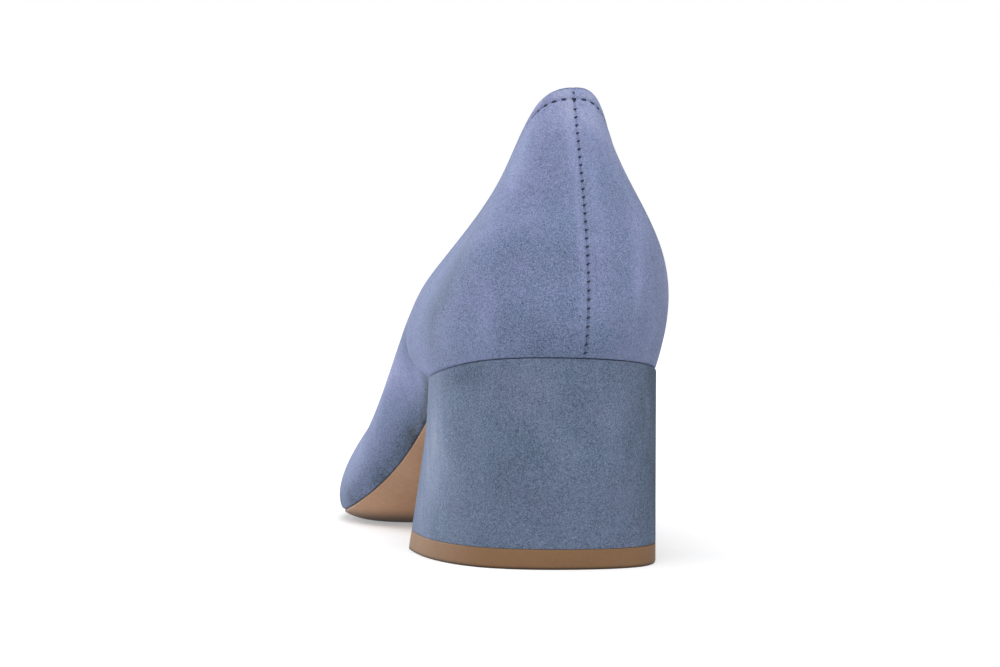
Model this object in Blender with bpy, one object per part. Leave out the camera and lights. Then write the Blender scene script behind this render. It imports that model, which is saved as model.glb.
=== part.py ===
"""A suede pump with a covered block heel, left foot: upper, insole, outsole, heel and top piece.

The last stands in its own frame: the floor is z = 0, the back of the seat is y = 0, +Y points to the
toe, +X to the wearer's right, which is the inner side of this left shoe. Sizes are in millimetres.
The whole shoe is then moved so that the middle of its footprint is at the origin.
"""

from collections import namedtuple

import bmesh
import bpy
import numpy as np

MM = 0.001  # metres in a millimetre

# Driving sizes of the last
LENGTH = 240.0  # feather edge, from the back of the seat to the tip of the toe
BALL_WIDTH = 72.6  # feather edge, across the ball
HEEL_HEIGHT = 46.7  # upper's rim above the floor, at the back of the seat
BACK_HEIGHT = 61.0  # topline above the rim line, at the back seam
INSTEP_HEIGHT = 36.5  # topline above the rim line, at the throat

# Thicknesses
WALL = 1.8  # suede, stiffener and lining together
INSOLE = 2.6  # board and sock
SKIVE = 0.5  # insole's upper edge, cut back from the wall
OUTSOLE_EDGE = 0.9  # leather at the edge of the sole
CROWN_FULLNESS = 5  # 2 is a plain arch from edge to edge, more is fuller
CROWN_FADES = 0.25  # share of BALL_WIDTH below which a narrowing toe thins the crown
TREAD_ROUND = 1.5  # height over which the tread rounds off to the floor
GAP = 0.3  # between neighbouring pieces

# Covered heel and its top piece
BREAST = 66.0  # heel breast, from the back of the seat
SEAT_MARGIN = -0.3  # heel cover outside the feather edge, at the back
BREAST_MARGIN = 0.8  # and at the breast
HEEL_SET = 13.2  # back of the top piece, ahead of the back of the seat
BASE_DEPTH = 54.6  # top piece, from its back to the breast
BASE_WIDTH = 55.8  # top piece, across the breast
TOP_PIECE = 4.6  # thickness of the top piece
HEEL_CURVE = 1.15  # 1 is a straight flare from seat to floor, more is hollow below the seat

SOLE_MARGIN = -0.5  # outsole outside the feather edge

# Mesh counts
HALF_COLUMNS = 44  # ribs on each side of the upper, and cross lines of the insole
RIB_ROWS = 11  # points up each rib
SOLE_ROWS = 30  # cross lines of the outsole
HEEL_ROWS = 16  # cross lines of the heel and the top piece
ACROSS = 10  # steps along a cross line
HEEL_LEVELS = 6  # steps down the heel's side
SHARP_EDGE = np.radians(35)  # edges that turn more than this stay sharp
WELD = 0.001  # vertices closer than this are one

SUEDE_BLUE = (0.205, 0.240, 0.375)
HEEL_BLUE = (0.140, 0.170, 0.255)
LEATHER_BROWN = (0.330, 0.185, 0.105)
LIFT_BROWN = (0.230, 0.125, 0.065)
SOCK_BEIGE = (0.560, 0.440, 0.330)

# Height of the rim line along the foot: shares of LENGTH and of HEEL_HEIGHT
SolePoint = namedtuple("SolePoint", "along rise")
SOLE_LINE = (
    SolePoint(-0.03, 1.010),
    SolePoint(0.09, 0.970),
    SolePoint(0.19, 0.914),
    SolePoint(0.30, 0.760),
    SolePoint(0.40, 0.552),
    SolePoint(0.505, 0.289),
    SolePoint(0.60, 0.118),
    SolePoint(0.69, 0.062),
    SolePoint(0.80, 0.073),
    SolePoint(0.90, 0.114),
    SolePoint(1.02, 0.193),
)

# Depth of the outsole's crown below its edge along the foot: shares of LENGTH, and millimetres
CrownPoint = namedtuple("CrownPoint", "along depth")
CROWN_LINE = (
    CrownPoint(0.26, 0.8),  # heel breast
    CrownPoint(0.40, 2.0),
    CrownPoint(0.50, 4.0),
    CrownPoint(0.60, 4.8),  # tread
    CrownPoint(0.70, 3.6),
    CrownPoint(0.80, 2.4),
    CrownPoint(1.02, 1.2),  # toe
)

# Ribs of the last, from the back round the outer side to the toe and home along the inner side. A rib
# rises from the feather edge (along: share of LENGTH, across: share of BALL_WIDTH, lift: off the rim
# line) and leaves it by flare outwards and rise upwards. It ends at the topline (top_along,
# top_across, and top_share of the way from INSTEP_HEIGHT to BACK_HEIGHT), which it meets from lean
# outside and drop below.
Rib = namedtuple("Rib", "along across lift flare rise top_along top_across top_share lean drop")
RIBS = (
    Rib(-0.002, 0.000, 0.2, 7.7, 15.2, 0.064, 0.000, 0.989, 5.5, 18.6),  # back seam
    Rib(0.042, -0.276, 0.2, 9.0, 19.1, 0.076, -0.104, 0.847, 8.0, 20.4),
    Rib(0.136, -0.386, -1.4, 7.7, 13.5, 0.159, -0.162, 0.354, 6.8, 16.0),  # outer seat
    Rib(0.225, -0.360, 0.3, 15.4, 9.0, 0.241, -0.232, 0.044, 6.4, 11.0),  # bulge over the outer breast
    Rib(0.313, -0.317, 2.5, 5.3, 16.3, 0.317, -0.294, -0.058, 9.0, 12.3),  # outer waist
    Rib(0.466, -0.378, 1.0, 9.2, 14.9, 0.455, -0.330, 0.056, 7.3, 17.4),
    Rib(0.620, -0.512, 0.2, 5.4, 9.5, 0.601, -0.254, 0.190, 8.1, 12.2),  # outer ball
    Rib(0.778, -0.455, -0.1, 5.4, 10.6, 0.654, -0.177, 0.098, 13.9, 11.1),
    Rib(0.913, -0.252, 0.0, 4.0, 12.8, 0.682, -0.056, 0.013, 22.0, 9.2),
    Rib(1.000, 0.083, 0.0, 4.4, 14.6, 0.688, 0.083, 0.000, 32.0, 8.8),  # tip of the toe
    Rib(0.922, 0.340, 0.0, 4.0, 13.6, 0.676, 0.196, 0.026, 22.0, 9.2),
    Rib(0.792, 0.474, 0.0, 5.0, 12.0, 0.645, 0.295, 0.112, 14.0, 11.0),
    Rib(0.672, 0.490, 0.0, 5.0, 13.0, 0.603, 0.344, 0.223, 10.0, 11.0),  # inner ball
    Rib(0.472, 0.261, 3.0, 7.0, 14.1, 0.467, 0.353, 0.233, 8.0, 14.5),
    Rib(0.330, 0.248, 1.5, 8.0, 14.4, 0.322, 0.303, 0.158, 6.0, 16.0),  # inner waist
    Rib(0.144, 0.311, -0.8, 6.4, 21.9, 0.163, 0.187, 0.430, 8.9, 14.8),  # inner seat
    Rib(0.058, 0.228, -0.2, 10.6, 26.7, 0.076, 0.091, 0.864, 4.8, 22.1),
)
TIP_RIB = 9

# Half outlines of the top piece, back to breast: shares of BASE_DEPTH and of BASE_WIDTH
BasePoint = namedtuple("BasePoint", "depth outer inner")
HEEL_BASE = (
    BasePoint(0.000, 0.000, 0.000),
    BasePoint(0.033, 0.202, 0.192),
    BasePoint(0.106, 0.320, 0.308),
    BasePoint(0.216, 0.402, 0.375),
    BasePoint(0.363, 0.463, 0.414),
    BasePoint(0.600, 0.515, 0.445),
    BasePoint(1.000, 0.537, 0.463),
)


def spline_through(knots, values, places, period=None):
    """Reads a cubic spline through values at knots: natural at its ends, or closed after period."""
    values = np.asarray(values, float)
    if period is not None:
        places = np.mod(places, period)
        knots = np.append(knots, period)
        values = np.vstack([values, values[:1]])
    knots = np.asarray(knots, float)
    step = np.diff(knots)
    last = len(knots) - 1
    slope = np.diff(values, axis=0) / step[:, None]
    system = np.eye(last + 1)
    right = np.zeros_like(values)
    for i in range(1, last):
        system[i, i - 1 : i + 2] = step[i - 1], 2 * (step[i - 1] + step[i]), step[i]
        right[i] = 6 * (slope[i] - slope[i - 1])
    if period is not None:
        system[0, [0, 1, last - 1]] = 2 * (step[0] + step[-1]), step[0], step[-1]
        right[0] = 6 * (slope[0] - slope[-1])
        system[last, 0] = -1
    bend = np.linalg.solve(system, right)
    k = np.clip(np.searchsorted(knots, places, side="right") - 1, 0, last - 1)
    h = step[k][:, None]
    a = (knots[k + 1] - places)[:, None]
    b = (places - knots[k])[:, None]
    bent = (bend[k] * a**3 + bend[k + 1] * b**3) / (6 * h)
    return bent + (values[k] / h - bend[k] * h / 6) * a + (values[k + 1] / h - bend[k + 1] * h / 6) * b


def rim_height(y):
    """Height of the rim line at y, the level that the upper's bottom edge follows."""
    line = np.array(SOLE_LINE)
    return spline_through(line[:, 0] * LENGTH, line[:, 1:] * HEEL_HEIGHT, y)[:, 0]


def crown_depth(y):
    """Depth of the sole's crown at y."""
    line = np.array(CROWN_LINE)
    return spline_through(line[:, 0] * LENGTH, line[:, 1:], y)[:, 0]


def rest_on_floor(height):
    """Heights with what is near or below the floor brought down or up to it, in a soft rocker."""
    soft = (height + TREAD_ROUND) ** 2 / (4 * TREAD_ROUND)
    return np.where(np.abs(height) < TREAD_ROUND, soft, np.maximum(height, 0))


RIB_TABLE = np.array(RIBS) * ([LENGTH, BALL_WIDTH] + [1] * 3 + [LENGTH, BALL_WIDTH] + [1] * 3)
RIB_STEPS = np.linalg.norm(np.roll(RIB_TABLE[:, :2], -1, axis=0) - RIB_TABLE[:, :2], axis=1)
RIB_KNOTS = np.concatenate([[0], np.cumsum(RIB_STEPS)[:-1]])
LOOP = RIB_STEPS.sum()  # once round the feather edge
TIP = RIB_KNOTS[TIP_RIB]  # the tip's place on it
UP = np.array([0.0, 0.0, 1.0])


def rib_rows(places):
    """Columns of the rib table, read at places round the feather edge."""
    return Rib(*spline_through(RIB_KNOTS, RIB_TABLE, places, LOOP).T)


def feather_edge(places):
    """Points of the feather edge and its outward directions in plan."""
    rib = rib_rows(places)
    points = np.column_stack([rib.across, rib.along, rim_height(rib.along) + rib.lift])
    near = LOOP / 10000
    before, after = rib_rows(places - near), rib_rows(places + near)
    out = np.column_stack([before.along - after.along, after.across - before.across, 0 * places])
    return points, out / np.linalg.norm(out, axis=1, keepdims=True)


def upper_surface(places, shares):
    """Grid of points on the upper's outside: a rib for each place, a row for each share of its rise."""
    rib = rib_rows(places)
    foot, out = feather_edge(places)
    wall = INSTEP_HEIGHT + rib.top_share * (BACK_HEIGHT - INSTEP_HEIGHT)
    top = np.column_stack([rib.top_across, rib.top_along, rim_height(rib.top_along) + wall])
    low = foot + out * rib.flare[:, None] + UP * rib.rise[:, None]
    high = top + out * rib.lean[:, None] - UP * rib.drop[:, None]
    t = shares[None, :, None]
    rest = 1 - t
    foot, low, high, top = (p[:, None] for p in (foot, low, high, top))
    return rest**3 * foot + 3 * rest**2 * t * low + 3 * rest * t**2 * high + t**3 * top


def inside_of(grid, depth):
    """The grid of the upper's outside moved in by depth, level with it along the bottom rim."""
    along = np.roll(grid, -1, axis=0) - np.roll(grid, 1, axis=0)
    normal = np.cross(np.gradient(grid, axis=1), along)
    normal /= np.linalg.norm(normal, axis=2, keepdims=True)
    shift = normal * depth
    flat = normal[:, 0] * (1, 1, 0)
    shift[:, 0] = flat * depth / (flat**2).sum(axis=1, keepdims=True)
    return grid - shift


def wall_at(inside, height):
    """Points of the upper's inside at a height above its bottom rim, one for each rib."""
    rises = inside[..., 2] - inside[:, :1, 2]
    return np.array([[np.interp(height, rise, line) for line in rib.T] for rise, rib in zip(rises, inside)])


def solid(name, vertices, faces, material):
    """One object from vertices in millimetres, with coincident ones welded and its faces pointing out."""
    mesh = bpy.data.meshes.new(name)
    mesh.from_pydata(np.asarray(vertices) * MM, [], faces)
    shape = bmesh.new()
    shape.from_mesh(mesh)
    bmesh.ops.remove_doubles(shape, verts=shape.verts, dist=WELD * MM)
    bmesh.ops.recalc_face_normals(shape, faces=shape.faces)
    shape.to_mesh(mesh)
    shape.free()
    mesh.shade_smooth()
    mesh.set_sharp_from_angle(angle=SHARP_EDGE)
    mesh.materials.append(material)
    made = bpy.data.objects.new(name, mesh)
    bpy.context.collection.objects.link(made)
    return made


def finish(name, colour, roughness):
    """A Principled material."""
    material = bpy.data.materials.new(name)
    material.use_nodes = True
    shader = material.node_tree.nodes["Principled BSDF"]
    shader.inputs["Base Color"].default_value = (*colour, 1.0)
    shader.inputs["Roughness"].default_value = roughness
    shader.inputs["Metallic"].default_value = 0.0
    return material


def shell(name, outside, inside, material):
    """A wall between two grids that run round a loop, open at its bottom and its top."""
    columns, rows = outside.shape[:2]
    number = np.arange(2 * columns * rows).reshape(2, columns, rows)
    ahead = np.roll(number, -1, axis=1)
    faces = []
    for i in range(columns):
        for side in (0, 1):
            for j in range(rows - 1):
                here, there = number[side, i], ahead[side, i]
                faces.append([here[j], there[j], there[j + 1], here[j + 1]])
        for j in (0, rows - 1):
            faces.append([number[0, i, j], ahead[0, i, j], ahead[1, i, j], number[1, i, j]])
    return solid(name, np.vstack([outside.reshape(-1, 3), inside.reshape(-1, 3)]), faces, material)


# Places along a cross line from -1 on the left to 1 on the right, closer together near its ends
SIDEWAYS = -np.cos(np.linspace(0, np.pi, ACROSS + 1))


def cross_lines(left, right):
    """Grid of straight lines from left to right, a row for each pair of points."""
    share = (1 + SIDEWAYS[None, :, None]) / 2
    return left[:, None] * (1 - share) + right[:, None] * share


def border(grid):
    """The points round a grid: left side, front, right side, back."""
    return np.concatenate([grid[:-1, 0], grid[-1, :-1], grid[:0:-1, -1], grid[0, :0:-1]])


def slab(name, top, bottom, material, between=()):
    """A closed solid from a top grid to a bottom grid, past the border loops between them."""
    rows, columns = top.shape[:2]
    upper_numbers = np.arange(rows * columns).reshape(rows, columns)
    lower_numbers = upper_numbers + rows * columns
    vertices = np.vstack([top.reshape(-1, 3), bottom.reshape(-1, 3), *between])
    faces = []
    for number in (upper_numbers, lower_numbers):
        for i in range(rows - 1):
            for j in range(columns - 1):
                faces.append([number[i, j], number[i + 1, j], number[i + 1, j + 1], number[i, j + 1]])
    loops = [border(upper_numbers)]
    for k, loop in enumerate(between):
        loops.append(2 * rows * columns + k * len(loop) + np.arange(len(loop)))
    loops.append(border(lower_numbers))
    for above, below in zip(loops, loops[1:]):
        for a, b, c, d in zip(above, np.roll(above, -1), np.roll(below, -1), below):
            faces.append([a, b, c, d])
    return solid(name, vertices, faces, material)


def halves(loop):
    """Left and right edge, back to tip, of a loop that starts at the back and has its tip half way."""
    tip = len(loop) // 2
    return loop[: tip + 1], np.concatenate([loop[:1], loop[: tip - 1 : -1]])


def loop_places(half):
    """Places round the feather edge, the same number on its outer and its inner side."""
    outer = np.linspace(0, TIP, half, endpoint=False)
    inner = np.linspace(TIP, LOOP, half, endpoint=False)
    return np.concatenate([outer, inner])


def breast_places():
    """Where the feather edge passes the heel breast, on the outer and on the inner side."""
    found = []
    for start in (0, LOOP):
        dense = np.linspace(start, TIP, 600)
        found.append(np.interp(BREAST, feather_edge(dense)[0][:, 1], dense))
    return found


def make_upper(material):
    """The lasted shell of vamp and quarters."""
    outside = upper_surface(loop_places(HALF_COLUMNS), np.linspace(0, 1, RIB_ROWS))
    return shell("upper", outside, inside_of(outside, WALL), material)


def make_insole(material):
    """Board and sock between the upper's walls, whose edge follows their lean."""
    outside = upper_surface(loop_places(HALF_COLUMNS), np.linspace(0, 1, RIB_ROWS))
    high = wall_at(inside_of(outside, WALL + GAP + SKIVE), INSOLE)
    low = wall_at(inside_of(outside, WALL + GAP), 0)
    return slab("insole", cross_lines(*halves(high)), cross_lines(*halves(low)), material)


def make_outsole(material):
    """Leather sole from the heel breast to the toe, flat where it treads on the floor."""
    edges = []
    for place in breast_places():
        points, out = feather_edge(np.linspace(place, TIP, SOLE_ROWS + 1))
        edges.append(points + out * SOLE_MARGIN - UP * GAP)
    for edge in edges:
        edge[0, 1] = BREAST + GAP
    top = cross_lines(*edges)
    crown = crown_depth(top[..., 1].ravel()).reshape(top.shape[:2])
    width = np.linalg.norm(edges[0] - edges[1], axis=1)[:, None]
    toe_thins = np.clip(width / (CROWN_FADES * BALL_WIDTH), 0, 1)
    bottom = top.copy()
    bottom[..., 2] -= OUTSOLE_EDGE + crown * toe_thins * (1 - np.abs(SIDEWAYS) ** CROWN_FULLNESS)
    bottom[..., 2] = rest_on_floor(bottom[..., 2])
    return slab("outsole", top, bottom, material)


def heel_seat():
    """Grid of the heel's top, under the upper's rim and the insole."""
    edges = []
    for start, place in zip((0, LOOP), breast_places()):
        points, out = feather_edge(np.linspace(start, place, HEEL_ROWS + 1))
        margin = np.linspace(SEAT_MARGIN, BREAST_MARGIN, HEEL_ROWS + 1)[:, None]
        edges.append(points + out * margin - UP * GAP)
    for edge in edges:
        edge[-1, 1] = BREAST
    return cross_lines(*edges)


def heel_base():
    """Grid of the top piece's outline on the floor, paired row by row with the seat."""
    table = np.array(HEEL_BASE)
    y = HEEL_SET + table[:, 0] * BASE_DEPTH
    outline = np.vstack(
        [
            np.column_stack([-table[::-1, 1] * BASE_WIDTH, y[::-1]]),
            np.column_stack([table[1:, 2] * BASE_WIDTH, y[1:]]),
        ]
    )
    knots = np.concatenate([[0], np.cumsum(np.linalg.norm(np.diff(outline, axis=0), axis=1))])
    middle = knots[len(table) - 1]
    edges = []
    for end in (0, knots[-1]):
        line = spline_through(knots, outline, np.linspace(middle, end, HEEL_ROWS + 1))
        edges.append(np.column_stack([line, 0 * line[:, 0]]))
    return cross_lines(*edges)


def heel_at(seat, base, height):
    """Seat points moved down the heel to a height, or to one height for each point."""
    drop = 1 - height / seat[..., 2]
    share = (np.maximum(drop, 0) ** HEEL_CURVE)[..., None]
    level = seat * (1 - share) + base * share
    level[..., 2] = height
    return level


def make_heel(material):
    """Covered block from the seat down to the top piece, with a flat breast."""
    seat, base = heel_seat(), heel_base()
    foot = TOP_PIECE + GAP
    rim, floor = border(seat), border(base)
    levels = []
    for share in np.linspace(0, 1, HEEL_LEVELS + 1)[1:-1]:
        levels.append(heel_at(rim, floor, rim[:, 2] * (1 - share) + foot * share))
    return slab("heel", seat, heel_at(seat, base, np.full(seat.shape[:2], foot)), material, levels)


def make_top_piece(material):
    """Lift under the heel, whose side goes on along the heel's own flare."""
    seat, base = heel_seat(), heel_base()
    top = heel_at(seat, base, np.full(seat.shape[:2], TOP_PIECE))
    return slab("top_piece", top, base, material)


for old in list(bpy.data.objects):
    bpy.data.objects.remove(old)

blue_suede = finish("upper_suede", SUEDE_BLUE, 0.95)
heel_suede = finish("heel_suede", HEEL_BLUE, 0.95)
brown_leather = finish("sole_leather", LEATHER_BROWN, 0.55)
brown_lift = finish("top_piece_rubber", LIFT_BROWN, 0.60)
beige_sock = finish("insole_sock", SOCK_BEIGE, 0.60)
pieces = [
    make_upper(blue_suede),
    make_insole(beige_sock),
    make_outsole(brown_leather),
    make_heel(heel_suede),
    make_top_piece(brown_lift),
]

# The shoe hangs on one empty, which brings the middle of its footprint to the origin.
corners = np.array([corner.co for piece in pieces for corner in piece.data.vertices])
footprint_middle = (corners.min(axis=0) + corners.max(axis=0)) / 2
shoe = bpy.data.objects.new("shoe", None)
bpy.context.collection.objects.link(shoe)
shoe.location = (-footprint_middle[0], -footprint_middle[1], 0)
for piece in pieces:
    piece.parent = shoe
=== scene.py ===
"""The finished look of a suede pump, left shoe: each piece's surface, then its floor, light and camera.

Sizes are in millimetres on the last: the floor is z = 0, the back of the seat is y = 0, +Y points to
the toe and +X to the inner side. Each mesh is moved from there into the frame as it is made.
"""

from collections import namedtuple

import bmesh
import bpy
import numpy as np
from mathutils import Euler, Matrix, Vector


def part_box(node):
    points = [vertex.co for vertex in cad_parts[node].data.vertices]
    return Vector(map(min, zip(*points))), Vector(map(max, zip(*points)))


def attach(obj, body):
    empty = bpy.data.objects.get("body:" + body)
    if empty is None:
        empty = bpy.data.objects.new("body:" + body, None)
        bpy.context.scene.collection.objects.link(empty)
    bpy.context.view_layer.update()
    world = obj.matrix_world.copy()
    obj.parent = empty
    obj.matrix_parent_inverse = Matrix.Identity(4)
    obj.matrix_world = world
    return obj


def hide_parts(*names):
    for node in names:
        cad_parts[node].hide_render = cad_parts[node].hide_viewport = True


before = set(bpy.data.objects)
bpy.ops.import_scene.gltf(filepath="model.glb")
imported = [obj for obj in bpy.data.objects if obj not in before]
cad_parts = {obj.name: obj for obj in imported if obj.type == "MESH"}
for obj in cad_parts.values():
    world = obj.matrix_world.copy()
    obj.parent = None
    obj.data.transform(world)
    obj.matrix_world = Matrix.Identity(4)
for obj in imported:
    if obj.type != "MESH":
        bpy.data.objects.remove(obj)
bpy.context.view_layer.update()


# Suede of the upper: vamp and quarters in one skin of blue suede about a millimetre thick, closed by
# a seam up the back and drawn over the last and under its edge. Along the topline the suede is
# turned in to a round edge and stitched down, which puffs up a narrow band above the stitches.

MM = 0.001  # metres in a millimetre
LENGTH = 240.0  # feather edge, from the back of the seat to the tip of the toe
BALL_WIDTH = 72.6  # feather edge, across the ball
HEEL_HEIGHT = 46.7  # upper's rim above the floor, at the back of the seat
BACK_HEIGHT = 61.0  # topline above the rim line, at the back seam
INSTEP_HEIGHT = 36.5  # topline above the rim line, at the throat
SUEDE = 1.05  # thickness of the suede
STITCH_ROW = 2.85  # topline stitches, below the edge
WELD = 0.001  # vertices closer than this are one
SHARP_EDGE = np.radians(40)  # edges that turn more than this stay sharp

SolePoint = namedtuple("SolePoint", "along rise")
SOLE_LINE = (
    SolePoint(-0.03, 1.010),
    SolePoint(0.09, 0.970),
    SolePoint(0.19, 0.914),
    SolePoint(0.30, 0.760),
    SolePoint(0.40, 0.552),
    SolePoint(0.505, 0.289),
    SolePoint(0.60, 0.118),
    SolePoint(0.69, 0.062),
    SolePoint(0.80, 0.073),
    SolePoint(0.90, 0.114),
    SolePoint(1.02, 0.193),
)

# Ribs of the last, from the back round the outer side to the toe and home along the inner side. A rib
# rises from the feather edge (along, across, and lift off the rim line), leaves it by flare and rise,
# and ends at the topline (top_along, top_across, top_share), which it meets from lean and drop.
Rib = namedtuple("Rib", "along across lift flare rise top_along top_across top_share lean drop")
RIBS = (
    Rib(-0.002, 0.000, 0.2, 7.7, 15.2, 0.064, 0.000, 0.989, 5.5, 18.6),  # back seam
    Rib(0.042, -0.276, 0.2, 9.0, 19.1, 0.076, -0.104, 0.847, 8.0, 20.4),
    Rib(0.136, -0.386, -1.4, 7.7, 13.5, 0.159, -0.162, 0.354, 6.8, 16.0),  # outer seat
    Rib(0.225, -0.360, 0.3, 15.4, 9.0, 0.241, -0.232, 0.044, 6.4, 11.0),  # bulge over the outer breast
    Rib(0.313, -0.317, 2.5, 5.3, 16.3, 0.317, -0.294, -0.058, 9.0, 12.3),  # outer waist
    Rib(0.466, -0.378, 1.0, 9.2, 14.9, 0.455, -0.330, 0.056, 7.3, 17.4),
    Rib(0.620, -0.512, 0.2, 5.4, 9.5, 0.601, -0.254, 0.190, 8.1, 12.2),  # outer ball
    Rib(0.778, -0.455, -0.1, 5.4, 10.6, 0.654, -0.177, 0.098, 13.9, 11.1),
    Rib(0.913, -0.252, 0.0, 4.0, 12.8, 0.682, -0.056, 0.013, 22.0, 9.2),
    Rib(1.000, 0.083, 0.0, 4.4, 14.6, 0.688, 0.083, 0.000, 32.0, 8.8),  # tip of the toe
    Rib(0.922, 0.340, 0.0, 4.0, 13.6, 0.676, 0.196, 0.026, 22.0, 9.2),
    Rib(0.792, 0.474, 0.0, 5.0, 12.0, 0.645, 0.295, 0.112, 14.0, 11.0),
    Rib(0.672, 0.490, 0.0, 5.0, 13.0, 0.603, 0.344, 0.223, 10.0, 11.0),  # inner ball
    Rib(0.472, 0.261, 3.0, 7.0, 14.1, 0.467, 0.353, 0.233, 8.0, 14.5),
    Rib(0.330, 0.248, 1.5, 8.0, 14.4, 0.322, 0.303, 0.158, 6.0, 16.0),  # inner waist
    Rib(0.144, 0.311, -0.8, 6.4, 21.9, 0.163, 0.187, 0.430, 8.9, 14.8),  # inner seat
    Rib(0.058, 0.228, -0.2, 10.6, 26.7, 0.076, 0.091, 0.864, 4.8, 22.1),
)
TIP_RIB = 9  # number of the rib at the tip of the toe


def spline_through(knots, values, places, period=None):
    """Reads a cubic spline through values at knots: natural at its ends, or closed after period."""
    values = np.asarray(values, float)
    if period is not None:
        places = np.mod(places, period)
        knots = np.append(knots, period)
        values = np.vstack([values, values[:1]])
    knots = np.asarray(knots, float)
    step = np.diff(knots)
    last = len(knots) - 1
    slope = np.diff(values, axis=0) / step[:, None]
    system = np.eye(last + 1)
    right = np.zeros_like(values)
    for i in range(1, last):
        system[i, i - 1 : i + 2] = step[i - 1], 2 * (step[i - 1] + step[i]), step[i]
        right[i] = 6 * (slope[i] - slope[i - 1])
    if period is not None:
        system[0, [0, 1, last - 1]] = 2 * (step[0] + step[-1]), step[0], step[-1]
        right[0] = 6 * (slope[0] - slope[-1])
        system[last, 0] = -1
    bend = np.linalg.solve(system, right)
    k = np.clip(np.searchsorted(knots, places, side="right") - 1, 0, last - 1)
    h = step[k][:, None]
    a = (knots[k + 1] - places)[:, None]
    b = (places - knots[k])[:, None]
    bent = (bend[k] * a**3 + bend[k + 1] * b**3) / (6 * h)
    return bent + (values[k] / h - bend[k] * h / 6) * a + (values[k + 1] / h - bend[k + 1] * h / 6) * b


def rim_height(y):
    """Height of the rim line at y, the level that the upper's bottom edge follows."""
    line = np.array(SOLE_LINE)
    return spline_through(line[:, 0] * LENGTH, line[:, 1:] * HEEL_HEIGHT, y)[:, 0]


RIB_TABLE = np.array(RIBS) * ([LENGTH, BALL_WIDTH] + [1] * 3 + [LENGTH, BALL_WIDTH] + [1] * 3)
RIB_STEPS = np.linalg.norm(np.roll(RIB_TABLE[:, :2], -1, axis=0) - RIB_TABLE[:, :2], axis=1)
RIB_KNOTS = np.concatenate([[0], np.cumsum(RIB_STEPS)[:-1]])
LOOP = RIB_STEPS.sum()  # once round the feather edge
TIP = RIB_KNOTS[TIP_RIB]  # the tip's place on it
UP = np.array([0.0, 0.0, 1.0])


def rib_rows(places):
    """Columns of the rib table, read at places round the feather edge."""
    return Rib(*spline_through(RIB_KNOTS, RIB_TABLE, places, LOOP).T)


def feather_edge(places):
    """Points of the feather edge and its outward directions in plan."""
    rib = rib_rows(places)
    points = np.column_stack([rib.across, rib.along, rim_height(rib.along) + rib.lift])
    near = LOOP / 10000
    before, after = rib_rows(places - near), rib_rows(places + near)
    out = np.column_stack([before.along - after.along, after.across - before.across, 0 * places])
    return points, out / np.linalg.norm(out, axis=1, keepdims=True)


def rib_points(places, shares):
    """Grid of points on the upper's outside: a rib for each place, at shares of its rise."""
    rib = rib_rows(places)
    foot, out = feather_edge(places)
    wall = INSTEP_HEIGHT + rib.top_share * (BACK_HEIGHT - INSTEP_HEIGHT)
    top = np.column_stack([rib.top_across, rib.top_along, rim_height(rib.top_along) + wall])
    low = foot + out * rib.flare[:, None] + UP * rib.rise[:, None]
    high = top + out * rib.lean[:, None] - UP * rib.drop[:, None]
    t = shares[:, :, None]
    rest = 1 - t
    foot, low, high, top = (p[:, None] for p in (foot, low, high, top))
    return rest**3 * foot + 3 * rest**2 * t * low + 3 * rest * t**2 * high + t**3 * top


RIB_SAMPLES = 400  # points that measure a rib's length


def hang_rows(places, near_top, between, near_foot):
    """Grid of the upper's outside with rows from the topline down: near_top and near_foot are distances
    along the rib from its two ends, with even rows between them. Returns points and distances below."""
    shares = np.tile(np.linspace(1, 0, RIB_SAMPLES), (len(places), 1))
    dense = rib_points(places, shares)
    run = np.cumsum(np.linalg.norm(np.diff(dense, axis=1), axis=2), axis=1)
    run = np.hstack([np.zeros((len(places), 1)), run])
    total = run[:, -1:]
    start, stop = near_top[-1], total - near_foot[0]
    even = start + (stop - start) * np.linspace(0, 1, between + 2)[None, 1:-1]
    below = np.hstack([np.tile(near_top, (len(places), 1)), even, total - near_foot])
    read = [np.interp(b, r, s) for b, r, s in zip(below, run, shares)]
    return rib_points(places, np.array(read)), below


def outward(grid):
    """Outward directions of a grid that runs round the foot, with its rows going down."""
    along = np.roll(grid, -1, axis=0) - np.roll(grid, 1, axis=0)
    normal = np.cross(along, np.gradient(grid, axis=1))
    normal /= np.linalg.norm(normal, axis=2, keepdims=True)
    flat = normal[:, -1] * (1, 1, 0)
    normal[:, -1] = flat / (flat**2).sum(axis=1, keepdims=True)
    return normal


def places_from_seam(first, growth, widest):
    """Places round the feather edge: close together at the back seam, even round the rest."""
    sides = []
    for length in (TIP, LOOP - TIP):
        steps = [first]
        while sum(steps) < length:
            steps.append(min(steps[-1] * growth, widest))
        sides.append(np.cumsum(steps) * length / sum(steps))
    return np.concatenate([[0], sides[0], LOOP - sides[1][-2::-1]])


def beside_seam(grid):
    """Distance of each point of a grid from the back seam along its row, below 0 on the outer side."""
    step = np.linalg.norm(np.roll(grid, -1, axis=0) - grid, axis=2)
    ahead = np.cumsum(step, axis=0)
    run = np.vstack([0 * ahead[:1], ahead[:-1]])
    rest = ahead[-1] - run
    return np.where(run < rest, -run, rest)


def swell(distance, middle, reach):
    """A soft ridge of height 1 in the middle, which fades out over reach."""
    return np.exp(-(((distance - middle) / reach) ** 2))


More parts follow.
